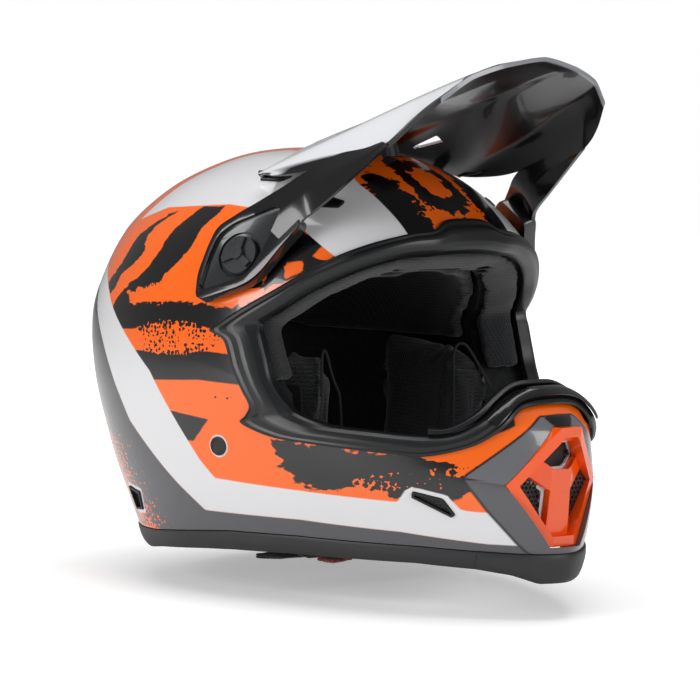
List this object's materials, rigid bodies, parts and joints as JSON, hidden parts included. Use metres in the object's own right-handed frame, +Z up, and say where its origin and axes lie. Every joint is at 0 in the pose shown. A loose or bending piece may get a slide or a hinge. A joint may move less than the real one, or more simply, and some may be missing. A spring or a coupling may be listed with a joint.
{
  "type": "motocross helmet",
  "caption": "Full-face off-road helmet with a wide open eyeport, jutting chin bar with mesh mouthpiece, long tilting peak, fabric padding and a D-ring chin strap.",
  "frame": {"origin": "middle of the helmet's outline on the plane that its rim stands on", "axes": "+Z up, -Y the way the wearer looks, +X the wearer's left"},
  "size_m": [0.26, 0.3622, 0.2926],
  "materials": {
    "shell_paint": "gloss clear coat over printed graphics",
    "impact_foam": null,
    "lining_fabric": "knitted fabric over soft foam",
    "pad_plate": "matte",
    "gasket_rubber": "satin",
    "gloss_black": "gloss",
    "trim_rubber": "matte",
    "mouth_orange": "gloss",
    "white_gloss": "gloss",
    "screen_mesh": "open mesh",
    "vent_trim": "satin",
    "screw_black": "satin",
    "rivet_steel": "satin",
    "ring_steel": "polished",
    "strap_webbing": "woven",
    "red_webbing": "woven",
    "label_cloth": "printed cloth, no text"
  },
  "bodies": {
    "helmet": {"outer_shell": "shell_paint", "crown_foam": "impact_foam", "chin_foam": "impact_foam", "crown_liner": "lining_fabric", "brow_lip": "lining_fabric", "cheek_pad_left": "lining_fabric", "cheek_pad_right": "lining_fabric", "cheek_pad_base_left": "pad_plate", "cheek_pad_base_right": "pad_plate", "neck_roll": "lining_fabric", "eyeport_gasket": "gasket_rubber", "nose_guard": "gasket_rubber", "nose_panel": "gloss_black", "base_trim": "trim_rubber", "chin_trim": "trim_rubber", "mouthpiece_cover": "mouth_orange", "mouthpiece_bezel": "white_gloss", "mouthpiece_screen": "screen_mesh", "side_vent_left": "vent_trim", "side_vent_right": "vent_trim", "rear_vent_left": "white_gloss", "rear_vent_right": "white_gloss", "crown_vent_left": "vent_trim", "crown_vent_right": "vent_trim", "brow_vent_left": "vent_trim", "brow_vent_right": "vent_trim", "visor_center_boss": "screw_black", "strap_rivet_left": "rivet_steel", "strap_rivet_right": "rivet_steel", "strap_left": "strap_webbing", "strap_right": "strap_webbing", "pull_tab_left": "red_webbing", "pull_tab_right": "red_webbing", "care_label": "label_cloth"},
    "visor": {"visor": "gloss_black"},
    "knob_left": {"visor_screw_left": "screw_black"},
    "knob_right": {"visor_screw_right": "screw_black"},
    "middle_screw": {"visor_center_screw": "screw_black"},
    "ring_lower": {"d_ring_lower": "ring_steel"},
    "ring_upper": {"d_ring_upper": "ring_steel"}
  },
  "joints": [
    {"name": "visor_tilt", "type": "hinge", "parent": "helmet", "child": "visor", "pos_m": [0, -0.0257, 0.1807], "axis": [1, 0, 0], "range_deg": [0, 12]},
    {"name": "knob_left_turn", "type": "hinge", "parent": "helmet", "child": "knob_left", "pos_m": [0.1137, -0.0257, 0.1807], "axis": [0.8887, -0.2929, 0.3529], "continuous": true},
    {"name": "knob_right_turn", "type": "hinge", "parent": "helmet", "child": "knob_right", "pos_m": [-0.1137, -0.0257, 0.1807], "axis": [-0.8887, -0.2929, 0.3529], "continuous": true},
    {"name": "middle_screw_turn", "type": "hinge", "parent": "helmet", "child": "middle_screw", "pos_m": [0, -0.022, 0.2539], "axis": [0, 0.2672, 0.9636], "continuous": true},
    {"name": "ring_lower_swing", "type": "hinge", "parent": "helmet", "child": "ring_lower", "pos_m": [-0.0361, 0.019, 0.0102], "axis": [0, -1, 0], "range_deg": [-22, 0]},
    {"name": "ring_upper_swing", "type": "hinge", "parent": "helmet", "child": "ring_upper", "pos_m": [-0.0361, 0.019, 0.0138], "axis": [0, -1, 0], "range_deg": [0, 80]}
  ]
}
